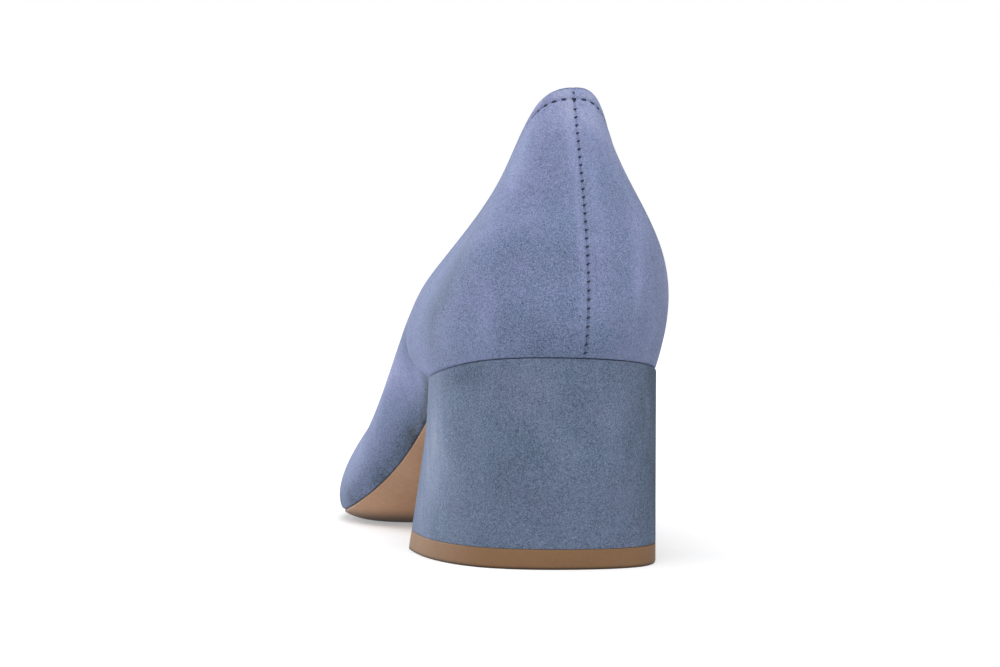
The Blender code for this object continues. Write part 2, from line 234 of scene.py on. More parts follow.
# Ridges of the suede, and grooves below 0, along the topline and along the seam
Ridge = namedtuple("Ridge", "middle reach height")
EDGE_RIDGES = (
    Ridge(1.30, 0.80, 0.16),  # band puffed up by the turned edge
    Ridge(STITCH_ROW, 0.34, -0.34),  # groove that the stitches draw
    Ridge(3.90, 0.90, 0.12),  # swelling below them
)
SEAM_RIDGES = (
    Ridge(-0.95, 0.50, 0.12),
    Ridge(0.00, 0.22, -0.30),
    Ridge(0.95, 0.50, 0.10),
)
SEAM_FADES = 0.7  # the seam is pressed flat nearer than this to the topline


def relief_of(ridges, distance):
    """How far the suede stands off its plain form at a distance across its ridges."""
    return sum(ridge.height * swell(distance, ridge.middle, ridge.reach) for ridge in ridges)


# Marks in the lightness of the nap, some of them brush strokes in the nap and some painted light and
# shade: where they are beside the seam and down from the piece's upper edge, how far they reach each way,
# and how much lighter the nap looks there, or darker below 0
NapAndLightMark = namedtuple("NapAndLightMark", "beside down beside_reach down_reach lift")
UPPER_MARKS = (
    NapAndLightMark(0, 0.8, 16, 1.8, 0.16),  # painted highlight along the turned edge
    NapAndLightMark(0, 6, 9, 6, 0.27),  # painted highlight on the top of the back, under the stitches
    NapAndLightMark(3, 28, 1.6, 10, 0.10),  # lighter beside the seam: painted highlight on the seam's raised flanks
    NapAndLightMark(-1.5, 25, 0.9, 30, 0.12),
    NapAndLightMark(10, 11, 5, 9, 0.15),  # painted light down the inner side
    NapAndLightMark(16, 27, 4, 10, 0.15),
    NapAndLightMark(13, 45, 1.6, 12, 0.12),
    NapAndLightMark(-12, 15, 4, 6, 0.07),  # brush strokes on the outer side
    NapAndLightMark(-16, 18, 2.5, 7, 0.08),
    NapAndLightMark(-20, 31, 10, 2.5, 0.08),
    NapAndLightMark(-23, 52, 2, 8, 0.08),
    NapAndLightMark(-6, 20, 4, 6, -0.05),  # darker between them
    NapAndLightMark(-5, 40, 4, 8, -0.06),
    NapAndLightMark(-16, 40, 11, 7, -0.07),
    NapAndLightMark(-8, 60, 13, 8, -0.19),  # painted shade low on the back, above the heel
    NapAndLightMark(12, 58, 9, 6, -0.06),
    NapAndLightMark(-40, 38, 14, 13, -0.12),  # painted shade on the outer side of the seat
    NapAndLightMark(-48, 36, 12, 13, -0.14),
    NapAndLightMark(-57, 46, 4, 6, 0.06),  # painted highlight on the swell over the breast
    NapAndLightMark(-90, 26, 12, 12, -0.16),  # painted shade in the hollow of the waist
    NapAndLightMark(-103, 25, 5, 11, -0.17),
    NapAndLightMark(-116, 21, 8, 7, 0.20),  # painted highlight on the wall ahead of it
)
RIM_SHADE_HEIGHT = 5.5  # height of the painted shade along the rim above the sole
RIM_SHADE = -0.45  # how much darker the nap is painted at the rim, as painted shade
RIM_SHADE_RUN = ((72, 0.0), (100, 1.0), (128, 1.0), (155, 0.55))  # distance from the seam, share of the painted shade


def nap_and_painted_light(marks, beside, down):
    """Lightness of the nap from 0 to 1 with its marks, painted light and shade among them, beside the seam
    and down from the upper edge.
    """
    nap_lightness = np.full(np.shape(beside), 0.5)
    for mark in marks:
        spot = swell(beside, mark.beside, mark.beside_reach) * swell(down, mark.down, mark.down_reach)
        nap_lightness += mark.lift * spot
    return nap_lightness


def round_edge(edge, out, tangent, thickness, steps):
    """Points that carry a wall over its edge, half a turn from the outside to the inside."""
    turn = np.linspace(0, np.pi, steps + 1)[None, 1:-1, None]
    middle = (edge - out * thickness / 2)[:, None]
    reach = thickness / 2
    return middle + reach * (out[:, None] * np.cos(turn) + tangent[:, None] * np.sin(turn))


def wall_section(points, out, relief, outer, inner, steps, turned=()):
    """A closed section for each column of a wall: down its outside, turned under by drops and insets,
    up its inside and over its edge."""
    outside = points + out * (relief - outer)[..., None]
    under = [outside[:, -1:] - out[:, -1:] * inset - UP * drop for drop, inset in turned]
    inside = points - out * inner
    tangent = points[:, 0] - points[:, 1]
    tangent /= np.linalg.norm(tangent, axis=1, keepdims=True)
    top = round_edge(outside[:, 0], out[:, 0], tangent, inner - outer, steps)
    return np.concatenate([outside, *under, inside[:, ::-1], top[:, ::-1]], axis=1)


def mesh_piece(name, vertices, faces, nap_lightness=None):
    """One object of the shoe from vertices on the last, welded, with its faces pointing out, and with
    the lightness of its nap at each vertex where it has one, which holds painted light and shade."""
    mesh = bpy.data.meshes.new(name)
    mesh.from_pydata(np.asarray(vertices) * MM + last_to_frame, [], faces)
    if nap_lightness is not None:
        mesh.attributes.new("nap_lightness", "FLOAT", "POINT").data.foreach_set("value", nap_lightness.ravel())
    shape = bmesh.new()
    shape.from_mesh(mesh)
    bmesh.ops.remove_doubles(shape, verts=shape.verts, dist=WELD * MM)
    bmesh.ops.dissolve_degenerate(shape, edges=shape.edges, dist=WELD * MM)
    bmesh.ops.recalc_face_normals(shape, faces=shape.faces)
    shape.to_mesh(mesh)
    shape.free()
    mesh.shade_smooth()
    mesh.set_sharp_from_angle(angle=SHARP_EDGE)
    piece = bpy.data.objects.new(name, mesh)
    bpy.context.collection.objects.link(piece)
    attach(piece, "root")
    return piece


def quads(columns, rows, closed_rows):
    """Faces of a grid that runs round a loop, with its rows closed as well or open."""
    number = np.arange(columns * rows).reshape(columns, rows)
    ahead = np.roll(number, -1, axis=0)
    corners = np.stack([number, ahead, np.roll(ahead, -1, axis=1), np.roll(number, -1, axis=1)], axis=2)
    if not closed_rows:
        corners = corners[:, :-1]
    return corners.reshape(-1, 4).tolist()


FINE_ROWS_END = 5.6  # rows are close together from the topline down to here
EDGE_ROWS = np.concatenate([np.arange(SUEDE / 2, FINE_ROWS_END, 0.22), [6.1, 6.9, 8.0]])
FOOT_ROWS = np.array([0.9, 0.5, 0.2, 0.0])
FOOT_ROUND = np.array([0.0, 0.01, 0.04, 0.12])  # how far the foot rounds in, at those rows
TURNED = ((0.12, 0.12), (0.20, 0.40))  # drop and inset of the suede that is turned under the foot

seam_places = places_from_seam(first=0.16, growth=1.10, widest=1.9)
skin, below = hang_rows(seam_places, EDGE_ROWS, between=42, near_foot=FOOT_ROWS)
skin_out = outward(skin)
beside = beside_seam(skin)
seam_relief = relief_of(SEAM_RIDGES, beside) * (1 - swell(below, 0, SEAM_FADES))
relief = relief_of(EDGE_RIDGES, below) + seam_relief
relief[:, -len(FOOT_ROWS) :] -= FOOT_ROUND

# The last lies in the frame where its upper's box has its middle, and both stand on the same floor
own_middle = (skin.min(axis=(0, 1)) + skin.max(axis=(0, 1))) / 2
frame_middle = np.mean(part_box("upper"), axis=0)
last_to_frame = (frame_middle - own_middle * MM) * (1, 1, 0)

section = wall_section(skin, skin_out, relief, outer=0.0, inner=SUEDE, steps=8, turned=TURNED)
nap = nap_and_painted_light(UPPER_MARKS, beside, below)
# Painted shade on the suede just above the sole along the waist and forefoot, where the wall turns under
nap += RIM_SHADE * swell(below[:, -1:] - below, 0, RIM_SHADE_HEIGHT) * np.interp(np.abs(beside), *zip(*RIM_SHADE_RUN))
nap = np.pad(nap, ((0, 0), (0, section.shape[1] - skin.shape[1])), "edge")
upper = mesh_piece("upper_suede", section.reshape(-1, 3), quads(*section.shape[:2], closed_rows=True), nap)
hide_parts("upper")


def shade(red, green, blue):
    """A colour for a shader from its usual 0 to 255 values."""
    values = np.array([red, green, blue]) / 255
    linear = np.where(values > 0.04045, ((values + 0.055) / 1.055) ** 2.4, values / 12.92)
    return (*linear.tolist(), 1.0)


def plug(tree, socket, value):
    """Joins a socket to another one, or sets it to a value."""
    if isinstance(value, bpy.types.NodeSocket):
        tree.links.new(value, socket)
    else:
        socket.default_value = value


def add_node(tree, kind, settings=(), **sockets):
    """A shader node with its settings, and its sockets set to values or joined to other sockets."""
    made = tree.nodes.new(kind)
    for name, value in dict(settings).items():
        setattr(made, name, value)
    for name, value in sockets.items():
        plug(tree, made.inputs[name.replace("_", " ")], value)
    return made


# A noise of a finish: its scale, 1 over the size of its grains in metres, its finer layers, how far they
# are pulled about, and how far the grains are drawn out up the shoe
Grain = namedtuple("Grain", "scale detail distortion drawn_out", defaults=(0.0, 1.0))


def noise(tree, place, grain):
    """Values of a noise on the shoe, around a half."""
    if grain.drawn_out != 1:
        squeeze = (1, 1, 1 / grain.drawn_out)
        place = add_node(tree, "ShaderNodeMapping", Vector=place, Scale=squeeze).outputs["Vector"]
    made = add_node(tree, "ShaderNodeTexNoise", Vector=place, Scale=grain.scale, Detail=grain.detail)
    made.inputs["Distortion"].default_value = grain.distortion
    return made.outputs["Fac"]


def calculate(tree, operation, *values):
    """Result of a sum on values or sockets."""
    made = add_node(tree, "ShaderNodeMath", {"operation": operation})
    for socket, value in zip(made.inputs, values):
        plug(tree, socket, value)
    return made.outputs[0]


def weighed(tree, *parts):
    """Sum of noises, each as far from its middle as its weight says, around a half."""
    total = 0.5 - sum(weight for _, weight in parts) / 2
    for value, weight in parts:
        total = calculate(tree, "MULTIPLY_ADD", value, weight, total)
    return total


def uneven(tree, value, grain, contrast):
    """A value around a half that a noise makes stronger here and weaker there."""
    off_half = calculate(tree, "SUBTRACT", value, 0.5)
    strength = calculate(tree, "MULTIPLY_ADD", grain, contrast, 1 - contrast / 2)
    return calculate(tree, "MULTIPLY_ADD", off_half, strength, 0.5)


def mix_colours(tree, share, first, second):
    """A colour between two: the first where share is 0, the second where it is 1."""
    made = add_node(tree, "ShaderNodeMix", {"data_type": "RGBA"})
    sockets = {socket.identifier: socket for socket in (*made.inputs, *made.outputs)}
    plug(tree, sockets["Factor_Float"], share)
    plug(tree, sockets["A_Color"], first)
    plug(tree, sockets["B_Color"], second)
    return sockets["Result_Color"]


def blend_colours(tree, share, *stops):
    """A colour read between stops, each a place from 0 to 1 and a colour."""
    ramp = add_node(tree, "ShaderNodeValToRGB", Fac=share)
    elements = ramp.color_ramp.elements
    while len(elements) < len(stops):
        elements.new(0.5)
    for element, (place, colour) in zip(elements, stops):
        element.position = place
        element.color = tuple(colour)
    return ramp.outputs["Color"]


def finish(name, roughness, **sockets):
    """A material with its shader's even values set, and the place on the shoe that its nodes read."""
    material = bpy.data.materials.new(name)
    material.use_nodes = True
    tree = material.node_tree
    shader = tree.nodes["Principled BSDF"]
    shader.inputs["Roughness"].default_value = roughness
    for socket, value in sockets.items():
        shader.inputs[socket.replace("_", " ")].default_value = value
    place = add_node(tree, "ShaderNodeTexCoord").outputs["Object"]
    return material, tree, shader, place


def set_colour_and_bump(tree, shader, colour, height, strength, depth):
    """Joins a colour and a bump of a depth in millimetres to the shader."""
    tree.links.new(colour, shader.inputs["Base Color"])
    bump = add_node(tree, "ShaderNodeBump", Strength=strength, Distance=depth * MM, Height=height)
    tree.links.new(bump.outputs["Normal"], shader.inputs["Normal"])


NAP = Grain(3300, 1, 0.4)  # single tips of the nap
TUFTS = Grain(1100, 1, 0.6)
RUBS = Grain(150, 2, 0.8, 2.5)  # strokes, up and down the shoe
PATCHES = Grain(60, 3, 0.5)  # where the nap lies the other way
DRIFT = Grain(90, 2, 0.4)  # of the dye
TEAL = np.array([0.93, 1.01, 0.99, 1.0])  # the two ways in which the dye drifts
VIOLET = np.array([1.07, 0.99, 1.01, 1.0])
PALE_NAP_AND_HIGHLIGHT = np.array([1.28, 1.23, 1.05, 1.0])  # paler colour of the lightest nap, which the painted highlights reach
# painted shade: the grey that the nap reaches in the darkest marks and the rim above the sole
SHADE_GREY = shade(62, 66, 73)
FUZZ_GLOW = shade(214, 220, 245)  # light in the loose fibres
STREAKINESS = 1.6  # contrast that the strokes give to the marks, painted light and shade among them


def suede(name, dark, light, fuzz):
    """Brushed suede: short nap in tufts, with patches where the nap lies the other way, and a fuzz of
    loose fibres that catches light along its outline."""
    sheen = {"Sheen_Weight": fuzz, "Sheen_Roughness": 0.45, "Sheen_Tint": FUZZ_GLOW}
    material, tree, shader, place = finish(name, roughness=0.95, Specular_IOR_Level=0.1, **sheen)
    nap, tufts, rubs, patches, drift = (noise(tree, place, g) for g in (NAP, TUFTS, RUBS, PATCHES, DRIFT))
    # Each piece's marks in the lightness of its nap, which hold painted light and shade
    marks_and_painted_light = add_node(tree, "ShaderNodeAttribute", {"attribute_name": "nap_lightness"}).outputs["Fac"]
    streaks = uneven(tree, marks_and_painted_light, rubs, STREAKINESS)
    nap_lightness = weighed(tree, (nap, 1.1), (tufts, 0.25), (rubs, 0.16), (patches, 0.32), (streaks, 1.0))
    dyed = []
    for dye in (TEAL, VIOLET):
        stops = (0.2, dark * dye), (0.8, light * dye), (1.0, light * dye * PALE_NAP_AND_HIGHLIGHT)
        dyed.append(blend_colours(tree, nap_lightness, (0.0, SHADE_GREY), *stops))
    height = weighed(tree, (nap, 0.8), (tufts, 0.4))
    set_colour_and_bump(tree, shader, mix_colours(tree, drift, *dyed), height, strength=0.5, depth=0.35)
    return material


UPPER_DARK = np.array(shade(86, 102, 127))
UPPER_LIGHT = np.array(shade(143, 151, 190))
upper.data.materials.append(suede("upper_suede", UPPER_DARK, UPPER_LIGHT, fuzz=0.18))


# Thread of the back seam: dark blue thread that shows as a short slanting bar across the closed seam
# at each stitch, from the folded topline down to the heel.

SEAM_PITCH = 1.93  # from stitch to stitch
SEAM_BAR = (1.35, 0.40, 0.40)  # length across the seam, width and height of what shows
SEAM_SLANT = np.radians(20)  # of the bars, rising to the inner side
SEAM_STARTS = 1.4  # first bar, below the topline
SEAM_SUNK = 0.06  # middle of the bars, below the suede
STITCH_RINGS = 8
STITCH_SIDES = 8


def stitch_form(length, width, height):
    """Rings of one stitch: a thread that dips into the suede at both ends."""
    run = np.sin(np.linspace(-np.pi / 2, np.pi / 2, STITCH_RINGS))
    turn = np.linspace(0, 2 * np.pi, STITCH_SIDES, endpoint=False)
    full = np.maximum(1 - np.abs(run) ** 3, 0) ** 0.5
    across = width / 2 * full[:, None] * np.cos(turn)
    above = height / 2 * full[:, None] * np.sin(turn) - (height * 0.45 * run**2)[:, None]
    return np.stack([np.broadcast_to(run[:, None] * length / 2, across.shape), across, above], axis=2)


def stitches(name, centres, along, out, size):
    """All stitches of a row as one mesh, each laid along its own direction on the surface."""
    form = stitch_form(*size)
    side = np.cross(out, along)
    axes = np.stack([along, side, out], axis=1)
    points = centres[:, None, None] + np.einsum("rsk,nkc->nrsc", form, axes)
    vertices, faces = [], []
    number = np.arange(STITCH_RINGS * STITCH_SIDES).reshape(STITCH_RINGS, STITCH_SIDES)
    ahead = np.roll(number, -1, axis=1)
    ring = np.stack([number[:-1], number[1:], ahead[1:], ahead[:-1]], axis=2).reshape(-1, 4)
    for n, stitch in enumerate(points):
        vertices.append(stitch.reshape(-1, 3))
        faces.extend((ring + n * number.size).tolist())
    return mesh_piece(name, np.vstack(vertices), faces)


def even_places(line, pitch):
    """Places along a line, as fractional point numbers, about one pitch apart from end to end."""
    run = np.concatenate([[0], np.cumsum(np.linalg.norm(np.diff(line, axis=0), axis=1))])
    count = round(run[-1] / pitch)
    return np.interp(np.linspace(0, run[-1], count + 1), run, np.arange(len(line)))


def read_line(line, places):
    """Values of a line at fractional point numbers."""
    numbers = np.arange(len(line))
    return np.column_stack([np.interp(places, numbers, line[:, k]) for k in range(line.shape[1])])


def unit(vectors):
    """Vectors brought to length 1."""
    return vectors / np.linalg.norm(vectors, axis=-1, keepdims=True)


THREAD_TWIST = Grain(6000, 2)
THREAD_SHADE = np.array([0.6, 0.6, 0.6, 1.0])  # between the fibres


def thread(name, colour):
    """Waxed sewing thread with a fine twist."""
    material, tree, shader, place = finish(name, roughness=0.55, Specular_IOR_Level=0.35)
    fibre = noise(tree, place, THREAD_TWIST)
    twisted = blend_colours(tree, fibre, (0.3, np.array(colour) * THREAD_SHADE), (0.7, colour))
    set_colour_and_bump(tree, shader, twisted, fibre, strength=0.4, depth=0.05)
    return material


sewn = slice(np.searchsorted(below[0], SEAM_STARTS), -len(FOOT_ROWS) + 1)
seam_line, seam_out = skin[0, sewn], skin_out[0, sewn]
at = even_places(seam_line, SEAM_PITCH)
down = unit(read_line(np.gradient(seam_line, axis=0), at))
bar_out = unit(read_line(seam_out, at))
level = np.cross(bar_out, down)
bars = level * np.cos(SEAM_SLANT) - down * np.sin(SEAM_SLANT)
centres = read_line(seam_line, at) - bar_out * SEAM_SUNK
seam_thread = stitches("back_seam_thread", centres, bars, bar_out, SEAM_BAR)
navy_thread = thread("navy_thread", shade(34, 42, 66))
seam_thread.data.materials.append(navy_thread)


# Lining: thin beige leather glued inside the suede, trimmed just under the turned edge and caught by
# the same row of stitches. Its foot is drawn under the insole with the suede.

WALL = 1.8  # suede and lining together
LINING_SET = 1.0  # lining's edge, below the topline
LINING_ROWS = np.concatenate([np.arange(LINING_SET, 6.0, 0.4), [6.8, 8.0]])
FILM = 0.02  # between suede and lining

lining_places = np.linspace(0, LOOP, 300, endpoint=False)
bag, bag_below = hang_rows(lining_places, LINING_ROWS, between=30, near_foot=np.array([0.6, 0.0]))
section = wall_section(bag, outward(bag), 0 * bag_below, outer=SUEDE + FILM, inner=WALL, steps=6)
lining = mesh_piece("lining", section.reshape(-1, 3), quads(*section.shape[:2], closed_rows=True))
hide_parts("upper")


LEATHER_DYE = Grain(60, 2)
CONTACT_SHADOW_BROWN = shade(34, 24, 17)  # painted contact shadow on leather that stands on a floor


def leather(name, dark, light, roughness, pore_scale, depth, soiled=None, **sockets):
    """Smooth leather with a fine pebbled grain and slightly uneven dye, darkened by a painted contact
    shadow up to a height in millimetres if it stands on a floor."""
    material, tree, shader, place = finish(name, roughness, **sockets)
    pores = noise(tree, place, Grain(pore_scale, 3, 0.3))
    dye = noise(tree, place, LEATHER_DYE)
    colour = blend_colours(tree, weighed(tree, (pores, 0.4), (dye, 0.6)), (0.3, dark), (0.7, light))
    # Painted contact shadow: the colour darkens towards the floor, up to the given height
    if soiled is not None:
        height = add_node(tree, "ShaderNodeSeparateXYZ", Vector=place).outputs["Z"]
        out_of_shadow = add_node(tree, "ShaderNodeMapRange", {"interpolation_type": "SMOOTHSTEP"}, Value=height)
        out_of_shadow.inputs["From Max"].default_value = soiled * MM
        colour = mix_colours(tree, out_of_shadow.outputs["Result"], CONTACT_SHADOW_BROWN, colour)
    set_colour_and_bump(tree, shader, colour, pores, strength=0.5, depth=depth)
    return material


LINING_DARK = shade(196, 172, 146)
LINING_LIGHT = shade(214, 192, 168)
beige_leather = leather(
    "beige_leather", LINING_DARK, LINING_LIGHT, roughness=0.6, pore_scale=900, depth=0.08
)
lining.data.materials.append(beige_leather)


# Thread of the topline: one row of dark blue stitches just under the turned edge, through suede and
# lining, so that it shows on both sides.

TOP_PITCH = 2.25  # from stitch to stitch
TOP_STITCH = (1.20, 0.55, 0.42)  # length, width and height of what shows
TOP_SUNK = 0.16  # middle of the outer stitches, down in their groove
LINING_PROUD = 0.02  # middle of the inner stitches, off the lining

row_places = np.linspace(0, LOOP, 1200, endpoint=False)
beside_row = STITCH_ROW + np.array([-0.2, 0.0, 0.2])
row, _ = hang_rows(row_places, beside_row, between=30, near_foot=np.array([0.0]))
row_out = outward(row)[:, 1]
row_line = np.vstack([row[:, 1], row[:1, 1]])
at = even_places(row_line, TOP_PITCH)[:-1]
along = unit(read_line(np.gradient(row_line, axis=0), at))
stitch_out = unit(read_line(np.vstack([row_out, row_out[:1]]), at))
along = unit(along - stitch_out * (along * stitch_out).sum(axis=1, keepdims=True))
centres = read_line(row_line, at)
outer_centres = centres - stitch_out * TOP_SUNK
inner_centres = centres - stitch_out * (WALL + LINING_PROUD)
outer_row = stitches("topline_thread", outer_centres, along, stitch_out, TOP_STITCH)
inner_row = stitches("lining_thread", inner_centres, along, -stitch_out, TOP_STITCH)
for stitched in (outer_row, inner_row):
    stitched.data.materials.append(navy_thread)


# Insole and sock: a board that the upper is drawn round, under a beige leather sock that the foot
# stands on, with a soft edge against the lining.

INSOLE = 2.6  # board and sock
GAP = 0.3  # between neighbouring pieces
SOCK_EDGE = ((0.0, 0.0), (0.9, 0.0), (1.7, 0.06), (2.2, 0.25), (2.5, 0.6), (2.6, 1.2))  # height, inset
SOCK_RINGS = (0.1, 0.3, 0.6, 1.0)  # ways from the edge to the middle
HALF = 150  # points along each side


def loop_places(half):
    """Places round the feather edge, the same number on its outer and its inner side."""
    outer = np.linspace(0, TIP, half, endpoint=False)
    inner = np.linspace(TIP, LOOP, half, endpoint=False)
    return np.concatenate([outer, inner])


def loop_out(loop):
    """Outward directions in plan of a closed loop that runs from the back round the outer side."""
    along = np.roll(loop, -1, axis=0) - np.roll(loop, 1, axis=0)
    return unit(np.column_stack([-along[:, 1], along[:, 0], 0 * along[:, 0]]))


def lofted(name, loops, marks=()):
    """A closed piece through loops, whose first and last loop fold flat on the piece's middle line,
    with marks in the lightness of its nap if it has one, painted light and shade among them."""
    grid = np.stack(loops, axis=1)
    nap = nap_and_painted_light(marks, beside_seam(grid), grid[:, 1:2, 2] - grid[..., 2]) if marks else None
    return mesh_piece(name, grid.reshape(-1, 3), quads(*grid.shape[:2], closed_rows=False), nap)


def middle_line(left, right, back, front):
    """Points on the middle line for each pair of edge points, drawn in at the back and the front."""
    middle = (left + right) / 2
    run = np.concatenate([[0], np.cumsum(np.linalg.norm(np.diff(middle, axis=0), axis=1))])
    wanted = back + (run[-1] - back - front) * run / run[-1]
    return read_line(middle, np.interp(wanted, run, np.arange(len(run))))


places = loop_places(HALF)
foot_ring, _ = hang_rows(places, np.array([4.0, 6.0]), between=20, near_foot=np.linspace(6, 0, 13))
foot_inside = (foot_ring - outward(foot_ring) * WALL)[:, ::-1]
edge_out = feather_edge(places)[1]


def board_loop(height, inset):
    """The insole's outline at a height over its underside, inset from the wall beside it."""
    rises = foot_inside[..., 2] - foot_inside[:, :1, 2]
    wall = [[np.interp(height, rise, line) for line in rib.T] for rise, rib in zip(rises, foot_inside)]
    return np.array(wall) - edge_out * (GAP + inset)


board = board_loop(0, 0)
tip = len(board) // 2
left = board[: tip + 1]
right = np.concatenate([board[:1], board[: tip - 1 : -1]])
spine = middle_line(left, right, back=14, front=14)
spine_loop = np.vstack([spine[:-1], spine[:0:-1]])
loops = [spine_loop]
loops += [board_loop(height, inset) for height, inset in SOCK_EDGE]
top_edge = loops[-1]
loops += [top_edge * (1 - share) + (spine_loop + UP * INSOLE) * share for share in SOCK_RINGS]
insole = lofted("insole_sock", loops)
insole.data.materials.append(beige_leather)
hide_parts("insole")


# Outsole: thin brown leather from the heel breast to the toe, glued under the drawn-in upper. Its edge
# is trimmed and rounded underneath, and the tread is full enough to stand flat on the floor.

OUTSOLE_EDGE = 0.9  # leather at the edge of the sole
CROWN_FULLNESS = 5  # 2 is a plain arch from edge to edge, more is fuller
CROWN_FADES = 0.25  # share of BALL_WIDTH below which a narrowing toe thins the crown
TREAD_ROUND = 1.5  # height over which the tread rounds off to the floor
SOLE_MARGIN = -0.5  # outsole outside the feather edge
BREAST = 66.0  # heel breast, from the back of the seat
SOLE_ROWS = 150  # points along each side
SOLE_ACROSS = 24  # points along the breast
SOLE_SHADOW_HEIGHT = 5.0  # height of the painted contact shadow on the tread
SOLE_DARK = shade(155, 119, 92)
SOLE_LIGHT = shade(173, 136, 108)

# The sole's trimmed side, by drop and inset, and the ways from there to its middle line
SOLE_SIDE = ((0.0, 0.3), (0.08, 0.18), (0.25, 0.14), (0.5, 0.2), (0.75, 0.34), (0.9, 0.55))
SOLE_RINGS = (0.01, 0.03, 0.06, 0.1, 0.15, 0.21, 0.28, 0.36, 0.46, 0.58, 0.72, 0.86, 1.0)

# The crown's depth below the sole's edge, at shares of LENGTH
CrownPoint = namedtuple("CrownPoint", "along depth")
CROWN_LINE = (
    CrownPoint(0.26, 0.8),  # heel breast
    CrownPoint(0.40, 2.0),
    CrownPoint(0.50, 4.0),
    CrownPoint(0.60, 4.8),  # tread
    CrownPoint(0.70, 3.6),
    CrownPoint(0.80, 2.4),
    CrownPoint(1.02, 1.2),  # toe
)


def breast_places():
    """Where the feather edge passes the heel breast, on the outer and on the inner side."""
    found = []
    for start in (0, LOOP):
        dense = np.linspace(start, TIP, 600)
        found.append(np.interp(BREAST, feather_edge(dense)[0][:, 1], dense))
    return found


sides = []
for place in breast_places():
    points, out = feather_edge(np.linspace(place, TIP, SOLE_ROWS + 1))
    edge = points + out * SOLE_MARGIN - UP * GAP
    edge[0, 1] = BREAST + GAP
    sides.append(edge)
left, right = sides
breast_share = np.linspace(1, 0, SOLE_ACROSS + 2)[1:-1, None]
breast_line = right[0] * breast_share + left[0] * (1 - breast_share)
outline = np.vstack([left, right[-2::-1], breast_line])
spine = middle_line(left, right, back=6, front=14)
spine_loop = np.vstack([spine, spine[-2::-1], np.repeat(spine[:1], SOLE_ACROSS, axis=0)])
width = np.linalg.norm(left - right, axis=1)
width = np.concatenate([width, width[-2::-1], np.repeat(width[:1], SOLE_ACROSS)])
toe_thins = np.clip(width / (CROWN_FADES * BALL_WIDTH), 0, 1)
sole_out = loop_out(outline)


def crown_depth(y):
    """Depth of the sole's crown at y."""
    line = np.array(CROWN_LINE)
    return spline_through(line[:, 0] * LENGTH, line[:, 1:], y)[:, 0]


def rest_on_floor(height):
    """Heights with what is near or below the floor brought down or up to it, in a soft rocker."""
    soft = (height + TREAD_ROUND) ** 2 / (4 * TREAD_ROUND)
    return np.where(np.abs(height) < TREAD_ROUND, soft, np.maximum(height, 0))


def sole_bottom(share):
    """The sole's underside on the way from its edge to its middle line."""
    ring = (outline - sole_out * SOLE_SIDE[-1][1]) * (1 - share) + spine_loop * share
    crown = crown_depth(ring[:, 1]) * toe_thins
    ring[:, 2] -= OUTSOLE_EDGE + crown * (1 - (1 - share) ** CROWN_FULLNESS)
    ring[:, 2] = rest_on_floor(ring[:, 2])
    return ring


loops = [spine_loop]
loops += [outline - sole_out * inset - UP * drop for drop, inset in SOLE_SIDE]
loops += [sole_bottom(share) for share in SOLE_RINGS]
outsole = lofted("outsole", loops)
# The tread gets a painted contact shadow towards the floor
contact_shadow = {"soiled": SOLE_SHADOW_HEIGHT, "Specular_IOR_Level": 0.25}
brown_leather = leather(
    "sole_leather", SOLE_DARK, SOLE_LIGHT, roughness=0.6, pore_scale=700, depth=0.06, **contact_shadow
)
outsole.data.materials.append(brown_leather)
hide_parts("outsole")


# Heel: a block with a D section, wrapped in the same suede, which is drawn round the corners of its
# breast and turned in under the seat and over the top piece.

SEAT_MARGIN = -0.3  # heel cover outside the feather edge, at the back
BREAST_MARGIN = 0.8  # and at the breast
HEEL_SET = 13.2  # back of the top piece, ahead of the back of the seat
BASE_DEPTH = 54.6  # top piece, from its back to the breast
BASE_WIDTH = 55.8  # top piece, across the breast
TOP_PIECE = 4.6  # thickness of the top piece
HEEL_CURVE = 1.15  # 1 is a straight flare from seat to floor, more is hollow below the seat
CORNER = 1.0  # cut of the rounded corners at the breast
SIDE_POINTS = 120  # along each side of the heel
CORNER_POINTS = 8
BREAST_POINTS = 30
HEEL_LEVELS = 40
COVER_EDGE = ((-0.02, 0.45), (0.03, 0.20), (0.15, 0.05), (0.38, 0.0))  # drop from the seat, inset
COVER_FOOT = ((-0.20, 0.0), (0.10, 0.02), (0.24, 0.12))  # drop from the heel's foot, inset
# The heel's suede is the upper's suede painted darker and greyer: painted shade for the heel, which faces
# down and away from the high lamp
HEEL_DARK = np.array(shade(71, 86, 104))
HEEL_LIGHT = np.array(shade(127, 140, 167))
HEEL_MARKS = (
    NapAndLightMark(-44, 16, 8, 12, 0.29),  # painted highlight along the outer side
    NapAndLightMark(-56, 24, 16, 26, 0.13),
    NapAndLightMark(33, 20, 12, 40, -0.30),  # painted shadow of the pair's other shoe on the inner side
    NapAndLightMark(23, 9, 1.5, 4, 0.12),
    NapAndLightMark(-5, 32, 22, 10, -0.07),
    NapAndLightMark(-30, 2, 7, 3, -0.12),
    NapAndLightMark(8, 15, 2, 6, 0.08),
)

# The top piece's half outlines on the floor, from its back to the breast, at shares of its depth and width
BasePoint = namedtuple("BasePoint", "depth outer inner")
HEEL_BASE = (
    BasePoint(0.000, 0.000, 0.000),
    BasePoint(0.033, 0.202, 0.192),
    BasePoint(0.106, 0.320, 0.308),
    BasePoint(0.216, 0.402, 0.375),
    BasePoint(0.363, 0.463, 0.414),
    BasePoint(0.600, 0.515, 0.445),
    BasePoint(1.000, 0.537, 0.463),
)


